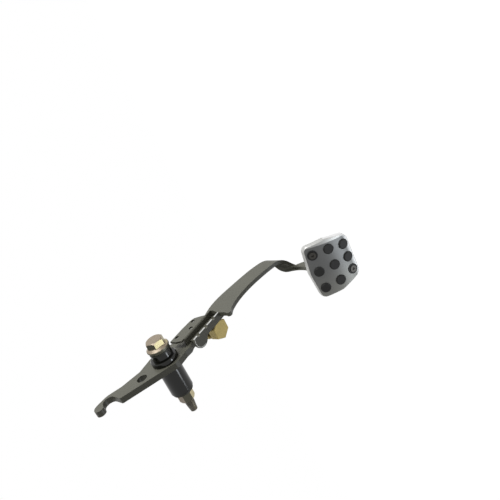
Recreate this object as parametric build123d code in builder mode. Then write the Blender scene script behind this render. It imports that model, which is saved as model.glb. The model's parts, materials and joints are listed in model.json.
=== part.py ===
import os
from math import cos, radians, sin, sqrt, tan
from build123d import *

# Clutch pedal, hanging as in the car: +X is the pivot axis towards the bolt head,
# +Y is forwards, away from the driver, and +Z is up. The origin is on the pivot axis,
# in the lever plate's outer face. Millimetres.

# Pivot bolt and nut
thread_dia = 10.0
shank_dia = 9.8
thread_core_dia = 9.0
head_flats = 17.0
head_turn = 45.0
head_height = 10.0
head_flange_dia = 24.2
head_flange_thick = 2.0
nut_flats = 15.0
nut_height = 9.7
thread_stick_out = 5.0
point_dia = 7.6
point_length = 10.0

# Washer, sleeve and bushes
washer_dia = 22.0
washer_thick = 2.3
nut_washer_dia = 18.0
nut_washer_thick = 1.3
sleeve_dia = 14.0
sleeve_bore_clearance = 0.1
bush_dia = 18.5
bush_length = 14.0
bush_flange_dia = 22.2
bush_flange_thick = 1.8
running_gap = 0.05
end_gap = 0.3

# Pivot tube
tube_dia = 24.5
tube_neck_step = 1.35
tube_below_plate = 32.0
tube_above_plate = 11.8
shoulder_step = 2.0
shoulder_height = 5.2
tube_edge_cut = 1.0

# Lever plate with its spring hook
lever_thick = 6.5
lever_front = 1.4
lever_back = -17.0
lever_hole_dia = 11.0
lever_hole_height = 28.4
lever_hole_y = -7.0
waist_height = 49.0
flare_width = 2.6
flare_height = 39.5
hub_radius = 22.5
hub_round = 38.0
hub_low = -30.5
hub_cut = -6.5
web_low = -45.5
hook_throat_radius = 6.0
hook_throat_height = 65.2
hook_neck = 4.7
hook_floor_slope = 25.0
finger_radius = 4.8

# Pressed channel between the lever plate and the arm
sheet_thick = 2.0
channel_angle = 31.1
channel_wall_height = 8.3
channel_near = -27.7
channel_far = -13.4
channel_start = 23.0
channel_floor_start = 28.0
channel_open_end = 66.5
channel_end = 76.0
lobe_radius = 9.7
lobe_place = 30.8
lobe_height = 3.0
notch_width = 3.8
notch_depth = 2.3
notch_pitch = 13.3
notch_first = 30.2
notch_count = 3
ear_start = 17.4
ear_end = 62.0
ear_edge = 3.3
ear_bend_radius = 2.0
ear_hole_dia = 4.5
ear_holes = ((24.9, -0.6), (40.5, -8.0), (51.7, -1.7))

# Arm: its outline as seen from the bolt head, then stations down its stepped neck.
# A station has the near edge's depth below the blade and its Y and Z, then the far edge's.
blade_thick = 4.5
foot_drop = 21.6
arm_far_edge = ((28.0, -64.6), (40.7, -82.1), (49.4, -102.8), (56.2, -121.5), (59.8, -133.0))
arm_near_edge = ((39.6, -147.5), (29.9, -120.1), (19.1, -101.0), (4.8, -85.1))
neck_stations = (
    (0.0, 39.6, -147.5, 0.0, 59.8, -133.0),
    (0.0, 41.2, -154.5, 0.0, 61.4, -142.0),
    (0.4, 42.8, -161.8, 0.2, 61.9, -152.5),
    (3.2, 44.2, -168.6, 1.8, 58.4, -158.8),
    (8.3, 45.7, -174.2, 5.2, 52.6, -161.0),
    (14.3, 47.2, -178.6, 11.0, 48.6, -163.8),
    (18.8, 46.6, -182.4, 16.2, 47.2, -169.2),
    (21.2, 41.0, -185.2, 20.2, 49.2, -176.4),
    (foot_drop, 36.0, -186.6, foot_drop, 51.6, -181.0),
    (foot_drop, 33.0, -187.4, foot_drop, 51.9, -186.0),
)
neck_steps = 3
foot_top_arc = 15.5
foot_bottom_arc = -12.7
foot_heel_back = 38.0
foot_heel_up = 3.4
flag_width = 18.4
flag_place = 63.5
flag_corner_radius = 2.6

# Stop bolt in its lug
stop_thread_dia = 12.0
stop_flats = 20.2
stop_head_thick = 9.1
stop_nut_height = 8.0
stop_face = -22.5
stop_depth = -11.9
stop_place = 64.0
stop_shank = 16.0
lug_radius = 8.6
lug_thick = 4.2

# Pad
pad_x = -14.2
pad_y = 3.75
pad_z = -209.4
pad_tilt = 8.0
pad_curve_radius = 79.0
pad_top_half_width = 33.4
pad_bottom_half_width = 26.0
pad_top = 29.2
pad_bottom = -25.7
pad_shoulder = 1.0
pad_top_slope = 3.0
pad_top_corner = 7.0
pad_bottom_corner = 9.0
cover_thick = 2.4
cover_rim_depth = 6.6
cover_rim_thick = 2.2
cover_edge_cut = 1.1
back_plate_thick = 2.6
back_plate_gap = 0.4

# Rubber studs and screws of the pad
stud_dia = 11.8
stud_rise = 1.7
stud_lift = 0.3
stud_edge_cut = 1.0
row_height_share = (0.65, 0.0, -0.7)
row_width_share = (0.64, 0.61, 0.49)
screw_thread_dia = 5.0
screw_head_dia = 7.6
screw_head_height = 2.2
screw_socket_flats = 3.0
screw_nut_flats = 8.0
screw_nut_height = 4.0
ring_sink = 1.3
ring_floor = 0.6
ring_rise = 0.6

# Worked out: stations along the pivot axis
washer_face = tube_above_plate + bush_flange_thick + end_gap
bolt_face = washer_face + washer_thick
head_top = bolt_face + head_height
tube_low = -lever_thick - tube_below_plate
sleeve_low = tube_low - bush_flange_thick - end_gap
nut_face = sleeve_low - nut_washer_thick
nut_low = nut_face - nut_height
bolt_end = nut_low - thread_stick_out - point_length
blade_low = channel_wall_height - blade_thick
sleeve_radius = sleeve_dia / 2
bush_radius = bush_dia / 2
tube_radius = tube_dia / 2
neck_radius = tube_radius - tube_neck_step
shoulder_radius = tube_radius + shoulder_step

# Worked out: the pad's face is a cylinder about a line parallel to the pivot
pad_normal = (0, -cos(radians(pad_tilt)), sin(radians(pad_tilt)))
pad_plane = Plane(origin=(pad_x, pad_y, pad_z), x_dir=(1, 0, 0), z_dir=pad_normal)
pad_axis_y = pad_y - pad_normal[1] * pad_curve_radius
pad_axis_z = pad_z - pad_normal[2] * pad_curve_radius
cover_back = pad_curve_radius - cover_thick
plate_back = cover_back - back_plate_thick


def hexagon_corner(flats):
    """Distance from a hexagon's centre to its corner."""
    return flats / sqrt(3)


def write(piece, name):
    """Labels a finished part and writes its STEP file."""
    piece.part.label = name
    export_step(piece.part, "parts/" + name + ".step")


os.makedirs("parts", exist_ok=True)

# Pivot bolt: flanged hexagon head, plain shank and a dog point
with BuildPart() as pivot_bolt:
    with BuildSketch(Plane.XY):
        with BuildLine():
            Polyline(
                (bolt_end, 0),
                (bolt_end, point_dia / 2),
                (bolt_end + point_length, thread_dia / 2),
                (nut_low, thread_dia / 2),
                (nut_low, thread_core_dia / 2),
                (nut_face, thread_core_dia / 2),
                (nut_face, shank_dia / 2),
                (bolt_face, shank_dia / 2),
                (bolt_face, head_flange_dia / 2),
                (bolt_face + head_flange_thick - 0.6, head_flange_dia / 2 - 0.2),
                (bolt_face + head_flange_thick + 1.4, head_flats / 2 + 0.6),
                (bolt_face + head_flange_thick + 1.4, 0),
                close=True,
            )
        make_face()
    revolve(axis=Axis.X)
    with BuildSketch(Plane.YZ.offset(bolt_face + head_flange_thick / 2)):
        RegularPolygon(hexagon_corner(head_flats), 6, rotation=head_turn)
    extrude(amount=head_height - head_flange_thick / 2)
    # The turned crown that takes off the hexagon's corners
    with BuildSketch(Plane.XY):
        with BuildLine():
            Polyline(
                (head_top + 1, head_flats / 2 - 1.6),
                (head_top + 1, head_flange_dia),
                (head_top - 2.4, head_flange_dia),
                (head_top - 2.0 + 0.3, hexagon_corner(head_flats) + 0.4),
                close=True,
            )
        make_face()
    revolve(axis=Axis.X, mode=Mode.SUBTRACT)
write(pivot_bolt, "pivot_bolt")

# Flat washer under the bolt head
with BuildPart() as pivot_washer:
    with BuildSketch(Plane.YZ.offset(washer_face)):
        Circle(washer_dia / 2)
        Circle(thread_dia / 2 + sleeve_bore_clearance, mode=Mode.SUBTRACT)
    extrude(amount=washer_thick)
write(pivot_washer, "pivot_washer")

# Inner sleeve that the bolt clamps and the bushes turn on
with BuildPart() as pivot_sleeve:
    with BuildSketch(Plane.YZ.offset(sleeve_low)):
        Circle(sleeve_radius)
        Circle(thread_dia / 2 + sleeve_bore_clearance, mode=Mode.SUBTRACT)
    extrude(amount=washer_face - sleeve_low)
write(pivot_sleeve, "pivot_sleeve")

# Washer between the sleeve and the nut
with BuildPart() as nut_washer:
    with BuildSketch(Plane.YZ.offset(nut_face)):
        Circle(nut_washer_dia / 2)
        Circle(thread_dia / 2 + sleeve_bore_clearance, mode=Mode.SUBTRACT)
    extrude(amount=nut_washer_thick)
write(nut_washer, "nut_washer")

# Hexagon nut, chamfered on both faces
with BuildPart() as pivot_nut:
    with BuildSketch(Plane.YZ.offset(nut_low)):
        RegularPolygon(hexagon_corner(nut_flats), 6, rotation=30)
        Circle(thread_core_dia / 2, mode=Mode.SUBTRACT)
    extrude(amount=nut_height)
    with BuildSketch(Plane.XY):
        with BuildLine():
            Polyline(
                (nut_low, 0),
                (nut_low, nut_flats / 2),
                (nut_low + 1.2, hexagon_corner(nut_flats) + 0.1),
                (nut_face - 1.2, hexagon_corner(nut_flats) + 0.1),
                (nut_face, nut_flats / 2),
                (nut_face, 0),
                close=True,
            )
        make_face()
    revolve(axis=Axis.X, mode=Mode.INTERSECT)
write(pivot_nut, "pivot_nut")

# Pivot tube: bush housing with a turned shoulder that seats on the lever plate
with BuildPart() as pivot_tube:
    with BuildSketch(Plane.XY):
        with BuildLine():
            Polyline(
                (tube_low, bush_radius),
                (tube_low, tube_radius - tube_edge_cut),
                (tube_low + tube_edge_cut, tube_radius),
                (0, tube_radius),
                (0, shoulder_radius),
                (shoulder_height - tube_edge_cut, shoulder_radius),
                (shoulder_height, shoulder_radius - tube_edge_cut),
                (shoulder_height, neck_radius),
                (tube_above_plate, neck_radius),
                (tube_above_plate, bush_radius),
                close=True,
            )
        make_face()
    revolve(axis=Axis.X)
write(pivot_tube, "pivot_tube")


def flanged_bush(face, outward):
    """Plastic bush pressed into the tube's end at X = face, with its flange outside."""
    with BuildPart() as bush:
        with BuildSketch(Plane.XY):
            with BuildLine():
                Polyline(
                    (face - outward * bush_length, sleeve_radius + running_gap),
                    (face - outward * bush_length, bush_radius),
                    (face, bush_radius),
                    (face, bush_flange_dia / 2),
                    (face + outward * bush_flange_thick, bush_flange_dia / 2),
                    (face + outward * bush_flange_thick, sleeve_radius + running_gap),
                    close=True,
                )
            make_face()
        revolve(axis=Axis.X)
    return bush


write(flanged_bush(tube_above_plate, 1), "bush_bolt_side")
write(flanged_bush(tube_low, -1), "bush_nut_side")

# Lever plate: hub around the tube, straight lever and spring hook, cut from one plate
throat_y = lever_front - hook_neck - hook_throat_radius
throat_slip = radians(hook_floor_slope)
floor_end = (
    throat_y + hook_throat_radius * sin(throat_slip),
    hook_throat_height - hook_throat_radius * cos(throat_slip),
)
hook_corner = (lever_back, floor_end[1] - (floor_end[0] - lever_back) * tan(throat_slip))
finger_under = hook_throat_height + hook_throat_radius + 0.5
finger_y = lever_back + finger_radius + 0.3
finger_top = finger_under + 2 * finger_radius
hub_arc = radians(hub_round)
with BuildPart() as lever_plate:
    with BuildSketch(Plane.YZ.offset(-lever_thick)):
        with BuildLine():
            Line(hook_corner, floor_end)
            ThreePointArc(
                floor_end,
                (throat_y + hook_throat_radius, hook_throat_height),
                (throat_y, finger_under),
            )
            Line((throat_y, finger_under), (finger_y, finger_under))
            ThreePointArc(
                (finger_y, finger_under),
                (finger_y - finger_radius, finger_under + finger_radius),
                (finger_y, finger_top),
            )
            Spline(
                (finger_y, finger_top),
                (finger_y + 7.2, finger_top - 4.4),
                (lever_front - 2.5, finger_top - 11.2),
                (lever_front, hook_throat_height - 7),
                tangents=[(1, 0), (0, -1)],
            )
            Polyline(
                (lever_front, hook_throat_height - 7),
                (lever_front, waist_height),
                (lever_front + flare_width, flare_height),
                (hub_radius * sin(hub_arc / 2), hub_radius * 1.21),
                (hub_radius * cos(hub_arc), hub_radius * sin(hub_arc)),
            )
            ThreePointArc(
                (hub_radius * cos(hub_arc), hub_radius * sin(hub_arc)),
                (hub_radius * cos(hub_arc / 2), hub_radius * sin(hub_arc / 2)),
                (hub_radius, 0),
            )
            Polyline(
                (hub_radius, 0),
                (hub_radius, 0.75 * web_low),
                (0.42 * hub_radius, web_low),
                (0.3, hub_low),
                (lever_back + 12, hub_low + 3.7),
                (lever_back + 9.2, hub_low + 9.9),
                (lever_back + 1.8, hub_cut - 4),
                (lever_back, hub_cut),
                hook_corner,
            )
        make_face()
        Circle(tube_radius, mode=Mode.SUBTRACT)
        with Locations((lever_hole_y, lever_hole_height)):
            Circle(lever_hole_dia / 2, mode=Mode.SUBTRACT)
    extrude(amount=lever_thick)
    corner = lever_plate.edges().filter_by(Axis.X).filter_by(
        lambda rim: abs(rim.center().Y - hook_corner[0]) < 0.1 and rim.center().Z > 0
    )
    fillet(corner, 2.4)
write(lever_plate, "lever_plate")

# Planes of the pressed channel: seen from the bolt head, and seen from its near side
along_y = sin(radians(channel_angle))
along_z = -cos(radians(channel_angle))
channel_plan = Plane(origin=(0, 0, 0), x_dir=(0, along_y, along_z), z_dir=(1, 0, 0))
channel_side = Plane(origin=(0, 0, 0), x_dir=(0, along_y, along_z), z_dir=(0, along_z, -along_y))
channel_back = channel_far + sheet_thick


def across(place):
    """Distance of a point across the channel, from the pivot axis."""
    return place.Y * -along_z + place.Z * along_y


def in_channel(along, sideways):
    """Y and Z of a point given along the channel and across it."""
    return along * along_y - sideways * along_z, along * along_z + sideways * along_y


# Pressed channel: floor, notched near wall with its lobe, far wall with its holed ear
with BuildPart() as arm_bracket:
    with BuildSketch(channel_plan):
        with Locations(((channel_floor_start + channel_end) / 2, (channel_near + channel_back) / 2)):
            Rectangle(channel_end - channel_floor_start, channel_back - channel_near)
    extrude(amount=sheet_thick)
    with BuildSketch(channel_side.offset(-channel_near)):
        with Locations((lobe_place, lobe_height)):
            Circle(lobe_radius)
        with Locations((lobe_place, channel_wall_height + lobe_radius)):
            Rectangle(4 * lobe_radius, 2 * lobe_radius, mode=Mode.SUBTRACT)
        with Locations(((lobe_place + channel_open_end) / 2, channel_wall_height / 2)):
            Rectangle(channel_open_end - lobe_place, channel_wall_height)
        with Locations(((lobe_place + channel_end) / 2, blade_low / 2)):
            Rectangle(channel_end - lobe_place, blade_low)
        with Locations([(notch_first + i * notch_pitch, channel_wall_height) for i in range(notch_count)]):
            SlotOverall(2 * notch_depth, notch_width, rotation=90, mode=Mode.SUBTRACT)
    extrude(amount=-sheet_thick)
    with BuildSketch(channel_side.offset(-channel_far)):
        with Locations(((channel_start + ear_end) / 2, channel_wall_height / 2)):
            Rectangle(ear_end - channel_start, channel_wall_height)
        with Locations(((channel_start + channel_end) / 2, blade_low / 2)):
            Rectangle(channel_end - channel_start, blade_low)
    extrude(amount=-sheet_thick)
    with BuildSketch(channel_plan.offset(channel_wall_height - sheet_thick)):
        with BuildLine():
            Polyline(
                (channel_start + 4.5, channel_far),
                (channel_start + 1, channel_far + 1.4),
                (channel_start - 3.4, channel_far + 1.4),
                (ear_start, channel_far + 8.2),
                (ear_start, ear_edge - 0.3),
                (ear_end - 23.6, ear_edge),
                (ear_end - 10.2, ear_edge - 0.9),
                (ear_end - 5.4, ear_edge - 3.0),
                (ear_end - 2.8, ear_edge - 8.3),
                (ear_end, channel_back - 0.9),
                (ear_end, channel_far),
                close=True,
            )
        make_face()
        with Locations(*ear_holes):
            Circle(ear_hole_dia / 2, mode=Mode.SUBTRACT)
    extrude(amount=sheet_thick)
    bend = arm_bracket.edges().filter_by(
        lambda rim: abs(across(rim.center()) - channel_far) < 0.05
        and abs(rim.center().X - channel_wall_height) < 0.05
    )
    fillet(bend, ear_bend_radius)
write(arm_bracket, "arm_bracket")

# Lug under the channel that carries the stop bolt
lug_near = stop_face + stop_head_thick
with BuildPart() as stop_lug:
    with BuildSketch(channel_side.offset(-lug_near)):
        with Locations((stop_place, stop_depth)):
            Circle(lug_radius)
        with Locations((stop_place, stop_depth / 2)):
            Rectangle(2 * lug_radius, -stop_depth)
        with Locations((stop_place, stop_depth)):
            Circle(stop_thread_dia / 2, mode=Mode.SUBTRACT)
    extrude(amount=-lug_thick)
write(stop_lug, "stop_lug")

# Stop bolt: the front of its hexagon head is what meets the stop on the bracket
with BuildPart() as stop_bolt:
    with BuildSketch(channel_side.offset(-stop_face)):
        with Locations((stop_place, stop_depth)):
            RegularPolygon(hexagon_corner(stop_flats), 6, rotation=30)
    extrude(amount=-stop_head_thick)
    with BuildSketch(channel_side.offset(-stop_face)):
        with Locations((stop_place, stop_depth)):
            Circle(hexagon_corner(stop_flats) - 0.2)
    extrude(amount=-stop_head_thick, mode=Mode.INTERSECT)
    front = min(stop_bolt.faces(), key=lambda face: across(face.center()))
    chamfer(front.edges(), 0.7)
    with BuildSketch(channel_side.offset(-lug_near)):
        with Locations((stop_place, stop_depth)):
            Circle(stop_thread_dia / 2)
    extrude(amount=-stop_shank)
write(stop_bolt, "stop_bolt")

# Nut that locks the stop bolt behind the lug
with BuildPart() as stop_nut:
    with BuildSketch(channel_side.offset(-lug_near - lug_thick)):
        with Locations((stop_place, stop_depth)):
            RegularPolygon(hexagon_corner(stop_flats), 6, rotation=30)
            Circle(stop_thread_dia / 2, mode=Mode.SUBTRACT)
    extrude(amount=-stop_nut_height)
write(stop_nut, "stop_nut")

def behind_pad(arc):
    """Y and Z of a point on the backing plate's rear face, at an arc above the pad's middle."""
    turn = radians(pad_tilt) + arc / pad_curve_radius
    return pad_axis_y - cos(turn) * plate_back, pad_axis_z + sin(turn) * plate_back


def neck_row(place):
    """The neck's station at a place counted along the stations, on a smooth curve through them."""
    first = min(int(place), len(neck_stations) - 2)
    t = place - first
    rows = [neck_stations[min(max(first + step, 0), len(neck_stations) - 1)] for step in (-1, 0, 1, 2)]
    return [
        b + t / 2 * (c - a + t * (2 * a - 5 * b + 4 * c - d + t * (3 * (b - c) + d - a)))
        for a, b, c, d in zip(*rows)
    ]


# Arm: flat blade on the channel, a neck that twists as it steps down, and a flat foot
foot_x = channel_wall_height - foot_drop
with BuildPart() as pedal_arm:
    with BuildSketch(Plane.YZ.offset(blade_low)):
        with BuildLine():
            Polyline(
                arm_near_edge[-1],
                in_channel(flag_place, channel_near - flag_width),
                in_channel(channel_open_end, channel_near - flag_width / 2),
                in_channel(channel_open_end, channel_near + sheet_thick),
                in_channel(channel_end - 6.3, channel_far - 4),
                in_channel(channel_end - 6.5, channel_far),
                in_channel(ear_end, channel_far),
                in_channel(ear_end, channel_back),
                arm_far_edge[0],
            )
            Spline(*arm_far_edge)
            Line(arm_far_edge[-1], arm_near_edge[0])
            Spline(*arm_near_edge)
        make_face()
    extrude(amount=blade_thick)
    flag_corner = pedal_arm.edges().filter_by(Axis.X).sort_by(Axis.Y)[0]
    fillet(flag_corner, flag_corner_radius)
    for step in range(neck_steps * (len(neck_stations) - 1) + 1):
        near_depth, near_y, near_z, far_depth, far_y, far_z = neck_row(step / neck_steps)
        near_edge = Vector(channel_wall_height - near_depth, near_y, near_z)
        far_edge = Vector(channel_wall_height - far_depth, far_y, far_z)
        width = far_edge - near_edge
        section = Plane(origin=near_edge, x_dir=width, z_dir=(0, width.Z, -width.Y))
        with BuildSketch(section):
            Rectangle(width.length, blade_thick, align=(Align.MIN, Align.MAX))
    loft(ruled=True)
    with BuildSketch(Plane.YZ.offset(foot_x - blade_thick)):
        with BuildLine():
            Polyline(
                behind_pad(foot_top_arc),
                neck_stations[-1][1:3],
                neck_stations[-1][4:6],
                (pad_y + foot_heel_back, pad_z + foot_heel_up),
                behind_pad(foot_bottom_arc),
            )
            ThreePointArc(behind_pad(foot_bottom_arc), behind_pad(0), behind_pad(foot_top_arc))
        make_face()
    extrude(amount=blade_thick)
write(pedal_arm, "pedal_arm")


def pad_slab(inset, outer_radius, inner_radius):
    """The pad's outline drawn in by an inset, between two radii about the pad's axis."""
    with BuildPart() as slab:
        with BuildSketch(Plane.YZ.offset(pad_x - 60)):
            with Locations((pad_axis_y, pad_axis_z)):
                Circle(outer_radius)
                Circle(inner_radius, mode=Mode.SUBTRACT)
        extrude(amount=120)
        with BuildSketch(pad_plane.offset(-30)) as outline:
            with BuildLine():
                Polyline(
                    (-pad_bottom_half_width, pad_bottom),
                    (pad_bottom_half_width, pad_bottom),
                    (pad_top_half_width, pad_shoulder),
                    (pad_top_half_width, pad_top - pad_top_slope),
                    (0, pad_top),
                    (-pad_top_half_width, pad_top - pad_top_slope),
                    (-pad_top_half_width, pad_shoulder),
                    close=True,
                )
            make_face()
            fillet(outline.vertices().group_by(Axis.Y)[0], pad_bottom_corner)
            fillet(outline.vertices().filter_by(lambda v: v.Y > pad_shoulder + 4 and abs(v.X) > 9), pad_top_corner)
            if inset:
                offset(amount=-inset)
        extrude(amount=60, mode=Mode.INTERSECT)
    return slab


# Places of the nine studs and screws: X across, arc above the pad's middle
places = []
for height, width in zip(row_height_share, row_width_share):
    row_arc = height * (pad_top if height > 0 else -pad_bottom)
    for step in (1, 0, -1):
        places.append((step * width * pad_top_half_width, row_arc))
screw_places = (places[0], places[8])
stud_places = [place for place in places if place not in screw_places]


def stud_plane(place, radius):
    """Plane on the pad at a radius from its axis, its normal out of the pad."""
    turn = radians(pad_tilt) + place[1] / pad_curve_radius
    outward = (0, -cos(turn), sin(turn))
    origin = (pad_x + place[0], pad_axis_y + outward[1] * radius, pad_axis_z + outward[2] * radius)
    return Plane(origin=origin, x_dir=(1, 0, 0), z_dir=outward)


# Backing plate, drilled for the two screws
back_plate = pad_slab(cover_rim_thick + back_plate_gap, cover_back, plate_back)
with BuildPart() as pad_backing_plate:
    add(back_plate.part)
    for place in screw_places:
        with BuildSketch(stud_plane(place, plate_back - 3)):
            Circle(screw_thread_dia / 2 + 0.1)
        extrude(amount=12, mode=Mode.SUBTRACT)
write(pad_backing_plate, "pad_backing_plate")

# Pressed cover with its rim, pierced for the rubber studs and sunk for the screw rings
outer = pad_slab(0, pad_curve_radius, pad_curve_radius - cover_rim_depth)
inner = pad_slab(cover_rim_thick, cover_back, pad_curve_radius - cover_rim_depth - 2)
with BuildPart() as pad_cover:
    add(outer.part)
    front = pad_cover.faces().sort_by(Axis.Y)[0]
    chamfer(front.edges(), cover_edge_cut)
    add(inner.part, mode=Mode.SUBTRACT)
    for place in stud_places:
        with BuildSketch(stud_plane(place, cover_back - 1)):
            Circle(stud_dia / 2)
        extrude(amount=12, mode=Mode.SUBTRACT)
    for place in screw_places:
        with BuildSketch(stud_plane(place, pad_curve_radius - ring_sink)):
            Circle(stud_dia / 2)
        extrude(amount=12, mode=Mode.SUBTRACT)
        with BuildSketch(stud_plane(place, cover_back - 1)):
            Circle(screw_thread_dia / 2 + 0.1)
        extrude(amount=12, mode=Mode.SUBTRACT)
write(pad_cover, "pad_cover")

# Rubber studs: round plugs with a domed top that stand on the backing plate
for number, place in enumerate(stud_places, start=1):
    ground = stud_plane(place, cover_back + stud_lift)
    side = Plane(origin=ground.origin, x_dir=ground.x_dir, z_dir=ground.y_dir)
    stud_top = -(cover_thick - stud_lift + stud_rise)
    with BuildPart() as rubber_stud:
        with BuildSketch(side):
            with BuildLine():
                Polyline(
                    (0, 0),
                    (stud_dia / 2, 0),
                    (stud_dia / 2, stud_top + stud_edge_cut),
                    (stud_dia / 2 - stud_edge_cut, stud_top),
                    (0, stud_top),
                    close=True,
                )
            make_face()
        revolve(axis=Axis(ground.origin, ground.z_dir))
    write(rubber_stud, "rubber_stud_" + str(number))

# Screws with their rings and nuts
for number, place in enumerate(screw_places, start=1):
    seat = pad_curve_radius - ring_sink
    with BuildPart() as screw_ring:
        with BuildSketch(stud_plane(place, seat)):
            Circle(stud_dia / 2)
            Circle(screw_thread_dia / 2 + 0.1, mode=Mode.SUBTRACT)
        extrude(amount=ring_sink + ring_rise)
        with BuildSketch(stud_plane(place, seat + ring_floor)):
            Circle(screw_head_dia / 2)
        extrude(amount=12, mode=Mode.SUBTRACT)
    write(screw_ring, "screw_ring_" + str(number))
    nut_seat = sqrt(plate_back ** 2 - hexagon_corner(screw_nut_flats) ** 2)
    with BuildPart() as pad_screw:
        with BuildSketch(stud_plane(place, nut_seat - screw_nut_height - 1)):
            Circle(screw_thread_dia / 2)
        extrude(amount=seat + ring_floor - nut_seat + screw_nut_height + 1)
        with BuildSketch(stud_plane(place, seat + ring_floor)):
            Circle(screw_head_dia / 2)
        extrude(amount=screw_head_height)
        with BuildSketch(stud_plane(place, seat + ring_floor + 0.8)):
            RegularPolygon(hexagon_corner(screw_socket_flats), 6)
        extrude(amount=screw_head_height, mode=Mode.SUBTRACT)
    write(pad_screw, "pad_screw_" + str(number))
    with BuildPart() as pad_nut:
        with BuildSketch(stud_plane(place, nut_seat - screw_nut_height)):
            RegularPolygon(hexagon_corner(screw_nut_flats), 6, rotation=30)
            Circle(screw_thread_dia / 2, mode=Mode.SUBTRACT)
        extrude(amount=screw_nut_height)
    write(pad_nut, "pad_nut_" + str(number))
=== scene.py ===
import json
import math

import bpy
from mathutils import Matrix, Vector

# Looks of the clutch pedal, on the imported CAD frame. Metres, in the row frame.

# Camera: it stands low on the driver's side, towards the bolt head, and is rolled hard over
CAMERA_PLACE = Vector((0.27348, -0.52434, 0.01238))
CAMERA_RIGHT = Vector((-0.39823, -0.38886, -0.83079))
CAMERA_UP = Vector((0.83748, 0.21536, -0.50224))
CAMERA_BACK = Vector((0.37422, -0.89577, 0.23990))
SENSOR_WIDTH = 36.0
LENS = 41.4
CLIP_START = 0.01

# Light: a key lamp beyond the bolt head, and a long lamp low on the driver's side that shows
# in shiny surfaces only. Both aim at the middle of the pedal. A lamp's length runs along X,
# or along Y where X is more than the steep share of its direction. The world is white where
# it is seen and dim where it lights.
MIDDLE = Vector((0.0, 0.01, -0.075))
STEEP = 0.7
KEY_DIRECTION = Vector((0.92, 0.08, 0.31))
KEY_DISTANCE = 0.85
KEY_SIZE = 0.55
KEY_WATTS = 6.3
SIDE_DIRECTION = Vector((-0.16, -0.785, -0.60))
SIDE_DISTANCE = 0.70
SIDE_LENGTH = 0.60
SIDE_WIDTH = 0.12
SIDE_WATTS = 2.7
SIDE_COLOUR = (0.88, 0.94, 1.0)
WHITE = (1, 1, 1, 1)
WORLD_SEEN = 1.0
WORLD_STRENGTH = 0.14

# Floor, far below the hanging pedal: its glow and its lit colour add up to white
FLOOR_HEIGHT = -0.9
FLOOR_SIZE = 8.0
FLOOR_COLOUR = 0.8
FLOOR_ROUGH = 0.9
FLOOR_GLOW = 0.9

# Colours, linear
PAINT_GREY = (0.127, 0.126, 0.099)
# Painted highlight on the edges of the channel's near wall
PAINTED_EDGE_HIGHLIGHT = (0.62, 0.62, 0.60)
PAINT_BLACK = (0.0060, 0.0068, 0.0040)
ZINC = (0.31, 0.25, 0.178)
# Painted shade (olive) and painted highlight (yellow) for the zinc of the pivot's bolt and nut
ZINC_PAINTED_SHADE = (0.090, 0.085, 0.055)
ZINC_PAINTED_HIGHLIGHT = (0.43, 0.375, 0.215)
ZINC_THREAD = (0.100, 0.090, 0.065)
OLIVE = (0.105, 0.100, 0.068)
GOLD = (0.55, 0.43, 0.145)
STEEL = (0.046, 0.042, 0.036)
PLASTIC = (0.034, 0.035, 0.027)
# Pad: the face's grey stands in for its dark reflection; then painted sheen, painted highlight
# on the low rim and painted highlight on the other rims
PAD_FACE = (0.132, 0.134, 0.132)
PAD_PAINTED_SHEEN = (0.225, 0.225, 0.205)
PAD_LOW_HIGHLIGHT = (0.92, 0.92, 0.92)
PAD_RIM_HIGHLIGHT = (0.62, 0.62, 0.60)
RUBBER = (0.014, 0.014, 0.013)

# Surfaces: how metallic, rough and shiny, and their bumps as (strength, scale)
SHINE = 0.5
PAINT_ROUGH = 0.42
PAINT_SHINE = 0.3
PAINT_BUMPS = (0.12, 700)
# How metallic the painted edge highlight is
EDGE_HIGHLIGHT_METAL = 0.8
ZINC_METAL = 0.35
ZINC_ROUGH = 0.36
ZINC_BUMPS = (0.2, 1400)
# How metallic the zinc is where it has painted highlight
ZINC_HIGHLIGHT_METAL = 0.9
PAD_METAL = 0.45
PAD_ROUGH = 0.42

# Noise: its detail in patches and in bumps, the range of it that patches use, and how deep
# the bumps are
PATCH_DETAIL = 6
PATCH_RANGE = (0.3, 0.7)
BUMP_DETAIL = 3
BUMP_DEPTH = 0.0002

# The soft edge of a mask that ends at a place on a piece
MASK_FADE = 0.0002

# Painted light and shade on the zinc of the pivot's bolt and nut, by their normals: olive
# is painted shade and yellow is painted highlight. X says what is a side and what is an end.
# On the sides, Z says where the painted shade begins and ends and below which value the
# painted highlight begins.
SIDE_FACING = (0.3, 0.8)
BOLT_SHADE_FACING = (0.0, 1.0)
BOLT_HIGHLIGHT_FACING = -0.1
NUT_SHADE_FACING = (-0.25, 0.55)
NUT_HIGHLIGHT_FACING = -0.4
SHADE_FADE_IN = 0.15
SHADE_FADE_OUT = 0.25
HIGHLIGHT_FADE = 0.1

# Flange of the pivot bolt: the radius of its rim, which gets painted shade, the height of its
# top, and the Z beyond which it gets painted highlight (yellow)
FLANGE_RIM = 0.0112
FLANGE_TOP = 0.0225
FLANGE_TOP_FADE = 0.001
FLANGE_HIGHLIGHT_Z = -0.0080
FLANGE_HIGHLIGHT_Z_FADE = 0.002

# Pivot bolt's free thread: its pitch, where it begins, where the bare point takes over, and
# its relief
THREAD_PITCH = 0.0015
THREAD_START = -0.0516
THREAD_END = -0.0600
THREAD_STRENGTH = 1.0
THREAD_DEPTH = 0.0003

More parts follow.
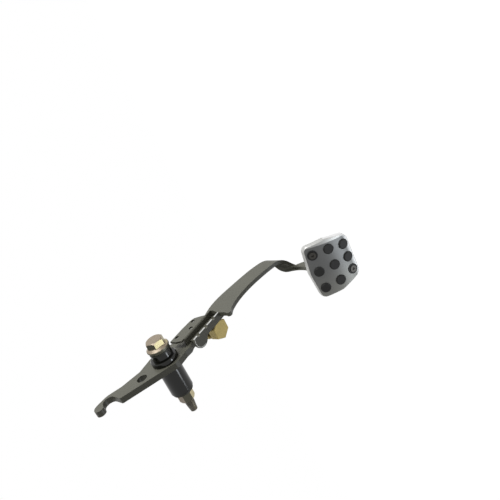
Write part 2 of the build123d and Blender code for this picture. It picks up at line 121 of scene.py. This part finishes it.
# Painted highlights on the edges of the channel's near wall: the way the wall faces, where
# its inner face lies along that, the height at which the painted highlight on its top begins,
# and the middle of its lobe, with the lobe's rim, which gets painted highlight on the hub's
# side only
NEAR_SIDE = Vector((0.0, -0.8563, -0.5165))
NEAR_WALL_PLACE = 0.0262
NEAR_WALL_TOP = 0.0078
NEAR_WALL_TOP_FADE = 0.0003
LOBE_MIDDLE = Vector((0.0030, -0.0078, -0.0407))
LOBE_RIM = 0.0083
LOBE_RIM_WIDTH = 0.0005
LOBE_RIM_END = -0.0435
LOBE_RIM_FADE = 0.002
LOBE_RIM_HIGHLIGHT_SHARE = 0.8

# Pad, by its normals, where painted highlights go: Y where the one on the top rim begins and
# where it is full, Z where the one on the low rim is full and where it ends, and X squared
# where those on the two side rims begin and are full
PAD_TOP_FACING = (-0.84, -0.60)
PAD_LOW_FACING = (-0.185, -0.12)
PAD_EDGE_FACING = (0.02, 0.12)

# Pad, by place: its middle, the slope of its sides, how far from the middle the painted
# highlight on the side begins towards the bolt head, and how far the face's painted sheen
# reaches the other way
PAD_MIDDLE_X = -0.0142
PAD_MIDDLE_Z = -0.2094
PAD_SIDE_SLOPE = 0.135
PAD_SIDE_PLACE = 0.0279
PAD_SIDE_FADE = 0.0007
PAD_SIDE_SHARE = 0.7
PAD_SHEEN_REACH = 0.035

# Edge rounding of the CAD pieces
BEVEL = 0.0004
BEVEL_STEPS = 2
BEVEL_ANGLE = 32.0
BEVEL_WIDE = {"lever_plate": 0.0010, "pedal_arm": 0.0006, "arm_bracket": 0.0008}


def feed(tree, value, socket):
    """Gives a socket a plain value, or links it to a node's output."""
    if isinstance(value, bpy.types.NodeSocket):
        tree.links.new(value, socket)
    else:
        socket.default_value = value


def add(tree, kind, inputs, operation=None):
    """Adds a node with its inputs fed, and returns its outputs."""
    made = tree.nodes.new("ShaderNode" + kind)
    if operation:
        made.operation = operation
    for name, value in inputs.items():
        feed(tree, value, made.inputs[name])
    return made.outputs


def coordinates(tree, kind):
    """The object's own coordinates (Object) or the way its surface faces (Normal)."""
    return add(tree, "TexCoord", {})[kind]


def axes(tree, vector):
    """The X, Y and Z of a vector."""
    return add(tree, "SeparateXYZ", {0: vector})


def noise(tree, scale, detail):
    """A noise texture's factor over the object's own coordinates."""
    spot = coordinates(tree, "Object")
    return add(tree, "TexNoise", {"Vector": spot, "Scale": scale, "Detail": detail})["Fac"]


def map_range(tree, value, start, end, low, high):
    """A value mapped from start and end to low and high, and kept between them."""
    ranges = {"From Min": start, "From Max": end, "To Min": low, "To Max": high}
    return add(tree, "MapRange", {"Value": value, **ranges})["Result"]


def rise(tree, value, start, end, top=1):
    """0 up to the start, and from there rising to the top at the end."""
    return map_range(tree, value, start, end, 0, top)


def fall(tree, value, start, end):
    """1 up to the start, and from there falling to 0 at the end."""
    return map_range(tree, value, start, end, 1, 0)


def offset(tree, value, middle, factor=1):
    """How far a value lies past a middle, times a factor."""
    return map_range(tree, value, middle - 1, middle + 1, -factor, factor)


def multiply(tree, first, second):
    """The product of two values."""
    return add(tree, "Math", {0: first, 1: second}, "MULTIPLY")[0]


def larger(tree, first, second):
    """The larger of two values."""
    return add(tree, "Math", {0: first, 1: second}, "MAXIMUM")[0]


def blend_colours(tree, factor, low, high):
    """A colour between two others, each plain or from a node, by a factor from 0 to 1."""
    mix = tree.nodes.new("ShaderNodeMix")
    mix.data_type = "RGBA"
    feed(tree, factor, mix.inputs["Factor"])
    for socket, colour in ((mix.inputs[6], low), (mix.inputs[7], high)):
        feed(tree, (*colour, 1) if isinstance(colour, tuple) else colour, socket)
    return mix.outputs[2]


def shader_inputs(tree):
    """The inputs of a material's shader."""
    return tree.nodes["Principled BSDF"].inputs


def base_material(name, colour, metal, rough, shine=SHINE):
    """A Principled material with plain values."""
    made = bpy.data.materials.new(name)
    made.use_nodes = True
    inputs = shader_inputs(made.node_tree)
    inputs["Base Color"].default_value = (*colour, 1)
    inputs["Metallic"].default_value = metal
    inputs["Roughness"].default_value = rough
    inputs["Specular IOR Level"].default_value = shine
    return made


def mottle(tree, colour, amount, scale):
    """Lets a base colour vary by an amount either way, in soft patches."""
    cloud = noise(tree, scale, PATCH_DETAIL)
    tint = map_range(tree, cloud, *PATCH_RANGE, 1 - amount, 1 + amount)
    shade = add(tree, "VectorMath", {0: colour, "Scale": tint}, "SCALE")["Vector"]
    feed(tree, shade, shader_inputs(tree)["Base Color"])


def emboss(tree, height, strength, depth):
    """Gives a surface the relief of a height."""
    relief = add(tree, "Bump", {"Strength": strength, "Distance": depth, "Height": height})
    feed(tree, relief["Normal"], shader_inputs(tree)["Normal"])


def grain(tree, strength, scale):
    """A fine bumpy surface."""
    emboss(tree, noise(tree, scale, BUMP_DETAIL), strength, BUMP_DEPTH)


def finish(name, colour, metal, rough, shine=SHINE, patches=None, bumps=None):
    """A material that may have patches (amount, scale) and bumps (strength, scale)."""
    made = base_material(name, colour, metal, rough, shine)
    if patches:
        mottle(made.node_tree, colour, *patches)
    if bumps:
        grain(made.node_tree, *bumps)
    return made


def off_axis(tree, spot):
    """How far a place lies from the pivot's axis."""
    around = add(tree, "VectorMath", {0: spot, 1: (0, 1, 1)}, "MULTIPLY")["Vector"]
    return add(tree, "VectorMath", {0: around}, "LENGTH")["Value"]


def zinc_painted_light(tree, shade_reach, highlight_reach):
    """How much painted shade (olive) and painted highlight (yellow) a bolt or nut gets, by
    place and by the way its sides face.
    """
    spot = coordinates(tree, "Object")
    place = axes(tree, spot)
    facing = axes(tree, coordinates(tree, "Normal"))
    side = fall(tree, facing["X"], *SIDE_FACING)
    rim = rise(tree, off_axis(tree, spot), FLANGE_RIM - MASK_FADE, FLANGE_RIM)
    inside = fall(tree, rim, 0, 1)
    first, last = shade_reach
    begin = rise(tree, facing["Z"], first, first + SHADE_FADE_IN)
    end = fall(tree, facing["Z"], last, last + SHADE_FADE_OUT)
    # Painted shade (olive) on sides facing +Z and on the flange's rim; painted highlight
    # (yellow) on sides facing -Z, towards the side lamp, and on the flange top on that side
    painted_shade = multiply(tree, side, larger(tree, rim, multiply(tree, begin, end)))
    turned = fall(tree, facing["Z"], highlight_reach - HIGHLIGHT_FADE, highlight_reach)
    facet = multiply(tree, side, turned)
    low = fall(tree, place["X"], FLANGE_TOP, FLANGE_TOP + FLANGE_TOP_FADE)
    outer = fall(tree, place["Z"], FLANGE_HIGHLIGHT_Z - FLANGE_HIGHLIGHT_Z_FADE, FLANGE_HIGHLIGHT_Z)
    painted_highlight = multiply(tree, inside, larger(tree, facet, multiply(tree, low, outer)))
    return painted_shade, painted_highlight


def thread(tree, colour):
    """Grooves on the bolt's free end; returns the colour, which is darker there."""
    along = axes(tree, coordinates(tree, "Object"))["X"]
    free = fall(tree, along, THREAD_START, THREAD_START + THREAD_PITCH / 4)
    reach = rise(tree, along, THREAD_END - THREAD_PITCH, THREAD_END)
    turns = offset(tree, along, 0, 2 * math.pi / THREAD_PITCH)
    wave = add(tree, "Math", {0: turns}, "SINE")[0]
    grooves = multiply(tree, multiply(tree, wave, free), reach)
    emboss(tree, grooves, THREAD_STRENGTH, THREAD_DEPTH)
    return blend_colours(tree, free, colour, ZINC_THREAD)


def zinc_with_painted_light(name, shade_reach, highlight_reach, threaded):
    """Zinc plate with painted shade (olive) and painted highlight (yellow) on its sides, and
    with a thread or else a fine grain.
    """
    made = base_material(name, ZINC, ZINC_METAL, ZINC_ROUGH)
    tree = made.node_tree
    painted_shade, painted_highlight = zinc_painted_light(tree, shade_reach, highlight_reach)
    colour = blend_colours(tree, painted_shade, ZINC, ZINC_PAINTED_SHADE)
    colour = blend_colours(tree, painted_highlight, colour, ZINC_PAINTED_HIGHLIGHT)
    if threaded:
        colour = thread(tree, colour)
    else:
        grain(tree, *ZINC_BUMPS)
    feed(tree, colour, shader_inputs(tree)["Base Color"])
    metal = map_range(tree, painted_highlight, 0, 1, ZINC_METAL, ZINC_HIGHLIGHT_METAL)
    feed(tree, metal, shader_inputs(tree)["Metallic"])
    return made


def pad_metal():
    """Aluminium whose dark grey face stands in for the face's dark reflection, with painted
    highlights round its rim and along one side, and a painted sheen on part of the face.
    """
    made = base_material("pad_aluminium", PAD_FACE, PAD_METAL, PAD_ROUGH)
    tree = made.node_tree
    facing = axes(tree, coordinates(tree, "Normal"))
    place = axes(tree, coordinates(tree, "Object"))
    top = rise(tree, facing["Y"], *PAD_TOP_FACING)
    low = fall(tree, facing["Z"], *PAD_LOW_FACING)
    edges = rise(tree, multiply(tree, facing["X"], facing["X"]), *PAD_EDGE_FACING)
    outward = offset(tree, place["X"], PAD_MIDDLE_X)
    slope = offset(tree, place["Z"], PAD_MIDDLE_Z, PAD_SIDE_SLOPE)
    level = add(tree, "Math", {0: outward, 1: slope}, "SUBTRACT")[0]
    side_end = PAD_SIDE_PLACE + PAD_SIDE_FADE
    side = rise(tree, level, PAD_SIDE_PLACE, side_end, PAD_SIDE_SHARE)
    # Painted highlights on the top, side and low rims and along one side; painted sheen on
    # part of the face
    rim = larger(tree, top, larger(tree, edges, side))
    lighter = fall(tree, outward, -PAD_SHEEN_REACH, 0)
    colour = blend_colours(tree, lighter, PAD_FACE, PAD_PAINTED_SHEEN)
    colour = blend_colours(tree, rim, colour, PAD_RIM_HIGHLIGHT)
    colour = blend_colours(tree, low, colour, PAD_LOW_HIGHLIGHT)
    feed(tree, colour, shader_inputs(tree)["Base Color"])
    return made


def channel_paint():
    """The grey paint, with a painted highlight on top of the channel's near wall and round its
    lobe.
    """
    made = base_material(
        "channel_paint", PAINT_GREY, metal=0.0, rough=PAINT_ROUGH, shine=PAINT_SHINE
    )
    tree = made.node_tree
    spot = coordinates(tree, "Object")
    place = axes(tree, spot)
    across = add(tree, "VectorMath", {0: spot, 1: NEAR_SIDE}, "DOT_PRODUCT")["Value"]
    near = rise(tree, across, NEAR_WALL_PLACE, NEAR_WALL_PLACE + MASK_FADE)
    high = rise(tree, place["X"], NEAR_WALL_TOP, NEAR_WALL_TOP + NEAR_WALL_TOP_FADE)
    reach = add(tree, "VectorMath", {0: spot, 1: LOBE_MIDDLE}, "DISTANCE")["Value"]
    rim_end = LOBE_RIM + LOBE_RIM_WIDTH
    inner = rise(tree, reach, LOBE_RIM, LOBE_RIM + MASK_FADE)
    outer = fall(tree, reach, rim_end, rim_end + MASK_FADE)
    rim = multiply(tree, inner, outer)
    hubward = rise(
        tree, place["Z"], LOBE_RIM_END, LOBE_RIM_END + LOBE_RIM_FADE, LOBE_RIM_HIGHLIGHT_SHARE
    )
    # Painted highlight on the near wall's top and on the hub side of the lobe's rim
    highlighted_edges = multiply(tree, near, larger(tree, high, multiply(tree, rim, hubward)))
    colour = blend_colours(tree, highlighted_edges, PAINT_GREY, PAINTED_EDGE_HIGHLIGHT)
    feed(tree, colour, shader_inputs(tree)["Base Color"])
    feed(tree, rise(tree, highlighted_edges, 0, 1, EDGE_HIGHLIGHT_METAL), shader_inputs(tree)["Metallic"])
    grain(tree, *PAINT_BUMPS)
    return made


def materials():
    """The material of each slot of the record."""
    looks = {
        "grey_paint": dict(colour=PAINT_GREY, metal=0.0, rough=PAINT_ROUGH,
                           shine=PAINT_SHINE, patches=(0.05, 55), bumps=PAINT_BUMPS),
        "black_paint": dict(colour=PAINT_BLACK, metal=0.0, rough=0.14, shine=0.34,
                            patches=(0.1, 80)),
        "zinc_bright": dict(colour=ZINC, metal=ZINC_METAL, rough=0.38,
                            patches=(0.14, 160), bumps=ZINC_BUMPS),
        "olive_washer": dict(colour=OLIVE, metal=0.2, rough=0.45, shine=0.4,
                             patches=(0.15, 200)),
        "gold_zinc": dict(colour=GOLD, metal=ZINC_METAL, rough=0.42,
                          patches=(0.08, 120), bumps=(0.15, 1400)),
        "steel_plain": dict(colour=STEEL, metal=0.5, rough=0.4, patches=(0.1, 300)),
        "bush_plastic": dict(colour=PLASTIC, metal=0.0, rough=0.5, shine=0.3),
        "black_rubber": dict(colour=RUBBER, metal=0.0, rough=0.55, shine=0.25,
                             bumps=(0.3, 1200)),
    }
    made = {slot: finish(slot, **look) for slot, look in looks.items()}
    made["pad_aluminium"] = pad_metal()
    return made


def dress(frame):
    """Gives every CAD node its material, rounded edges and smooth shading."""
    slots = {row["node"]: row["material_slot"] for row in frame["record"]["subparts"]}
    shared = materials()
    own = {
        "pivot_bolt": zinc_with_painted_light("bolt_zinc", BOLT_SHADE_FACING, BOLT_HIGHLIGHT_FACING, threaded=True),
        "pivot_nut": zinc_with_painted_light("nut_zinc", NUT_SHADE_FACING, NUT_HIGHLIGHT_FACING, threaded=False),
        "arm_bracket": channel_paint(),
    }
    for name, piece in frame["nodes"].items():
        piece.data.materials.clear()
        piece.data.materials.append(own.get(name, shared[slots[name]]))
        piece.data.shade_smooth()
        rounding = piece.modifiers.new("rounding", "BEVEL")
        rounding.width = BEVEL_WIDE.get(name, BEVEL)
        rounding.segments = BEVEL_STEPS
        rounding.limit_method = "ANGLE"
        rounding.angle_limit = math.radians(BEVEL_ANGLE)
        rounding.harden_normals = True


def camera():
    """The photograph's camera."""
    eye = bpy.data.objects.new("camera", bpy.data.cameras.new("camera"))
    eye.data.sensor_width = SENSOR_WIDTH
    eye.data.lens = LENS
    eye.data.clip_start = CLIP_START
    turn = Matrix((CAMERA_RIGHT, CAMERA_UP, CAMERA_BACK)).transposed()
    eye.matrix_world = Matrix.Translation(CAMERA_PLACE) @ turn.to_4x4()
    bpy.context.collection.objects.link(eye)
    bpy.context.scene.camera = eye


def lamp(name, direction, distance, length, width, watts):
    """An area lamp in a direction from the object's middle, aimed at it."""
    data = bpy.data.lights.new(name, "AREA")
    data.shape = "RECTANGLE"
    data.size = length
    data.size_y = width
    data.energy = watts
    made = bpy.data.objects.new(name, data)
    back = direction.normalized()
    side = Vector((1, 0, 0)) if abs(back.x) < STEEP else Vector((0, 1, 0))
    side = (side - back * side.dot(back)).normalized()
    turn = Matrix((side, back.cross(side), back)).transposed()
    made.matrix_world = Matrix.Translation(MIDDLE + back * distance) @ turn.to_4x4()
    bpy.context.collection.objects.link(made)
    return made


def seen_straight(tree):
    """1 for rays from the camera and for those that metal or glass sends on, else 0."""
    path = add(tree, "LightPath", {})
    either = path["Is Camera Ray"]
    for ray in ("Is Glossy Ray", "Is Transmission Ray"):
        either = larger(tree, either, path[ray])
    return either


def choose(tree, otherwise, seen, output):
    """Shows one shader to the rays that see straight, and the other to the rest."""
    mix = add(tree, "MixShader", {"Fac": seen_straight(tree), 1: otherwise, 2: seen})
    feed(tree, mix["Shader"], tree.nodes[output].inputs["Surface"])


def lights():
    """Soft studio light, and a world that is white where camera and reflections see it."""
    lamp("key", KEY_DIRECTION, KEY_DISTANCE, KEY_SIZE, KEY_SIZE, KEY_WATTS)
    side = lamp("side", SIDE_DIRECTION, SIDE_DISTANCE, SIDE_LENGTH, SIDE_WIDTH, SIDE_WATTS)
    side.visible_diffuse = False
    side.data.color = SIDE_COLOUR
    world = bpy.data.worlds.new("studio")
    world.use_nodes = True
    tree = world.node_tree
    soft = tree.nodes["Background"]
    soft.inputs["Color"].default_value = WHITE
    soft.inputs["Strength"].default_value = WORLD_STRENGTH
    white = add(tree, "Background", {"Color": WHITE, "Strength": WORLD_SEEN})[0]
    choose(tree, soft.outputs[0], white, "World Output")
    bpy.context.scene.world = world


def floor():
    """A plain pale floor well below the hanging pedal, which keeps its shadow."""
    bpy.ops.mesh.primitive_plane_add(size=FLOOR_SIZE, location=(0, 0, FLOOR_HEIGHT))
    ground = bpy.context.object
    ground.name = "floor"
    paint = base_material(
        "floor", (FLOOR_COLOUR,) * 3, metal=0.0, rough=FLOOR_ROUGH, shine=0.0
    )
    tree = paint.node_tree
    lit = tree.nodes["Principled BSDF"].outputs[0]
    glow = add(tree, "Emission", {"Strength": FLOOR_GLOW})[0]
    both = add(tree, "AddShader", {0: lit, 1: glow})[0]
    choose(tree, lit, both, "Material Output")
    ground.data.materials.append(paint)


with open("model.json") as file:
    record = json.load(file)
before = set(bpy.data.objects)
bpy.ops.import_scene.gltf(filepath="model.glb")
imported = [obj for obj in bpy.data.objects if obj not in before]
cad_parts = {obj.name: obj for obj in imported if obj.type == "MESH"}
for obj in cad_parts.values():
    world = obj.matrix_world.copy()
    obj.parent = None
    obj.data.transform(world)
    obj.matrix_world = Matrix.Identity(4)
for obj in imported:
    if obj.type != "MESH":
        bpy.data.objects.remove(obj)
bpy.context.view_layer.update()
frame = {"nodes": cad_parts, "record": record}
dress(frame)
camera()
lights()
floor()
bpy.context.scene.view_settings.view_transform = "Standard"
